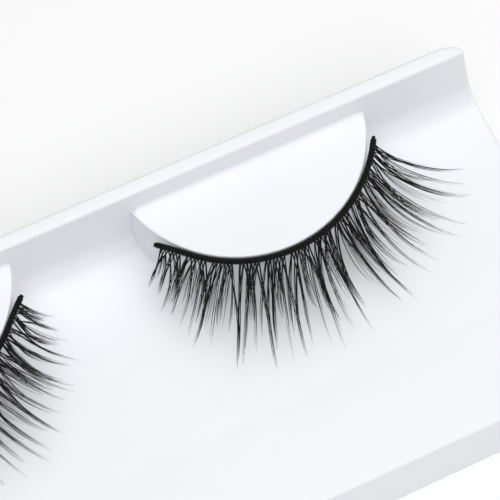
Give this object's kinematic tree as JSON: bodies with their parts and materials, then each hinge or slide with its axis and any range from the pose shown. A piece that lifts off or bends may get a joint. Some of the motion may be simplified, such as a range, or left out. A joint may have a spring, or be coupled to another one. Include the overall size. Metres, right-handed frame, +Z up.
{
  "type": "pair of false eyelash strips on a display tray",
  "caption": "Pair of black false eyelash strips with clustered, flared lashes, seated on the D-shaped pads of a white formed plastic display tray.",
  "frame": {"origin": "on the table under the middle of the tray's overall box", "axes": "+X along the tray's length, +Y from the tray's open front edge to the ridge at its back, +Z up"},
  "size_m": [0.108, 0.0438, 0.0203],
  "materials": {
    "white_sheet": "soft sheen, formed polystyrene sheet",
    "black_cotton": "knotted black cotton thread",
    "black_fibre": "fine black synthetic hair with a low sheen"
  },
  "bodies": {
    "root": {"tray": "white_sheet", "band_right": "black_cotton", "band_left": "black_cotton", "fringe_right": "black_fibre", "fringe_left": "black_fibre"}
  },
  "joints": []
}
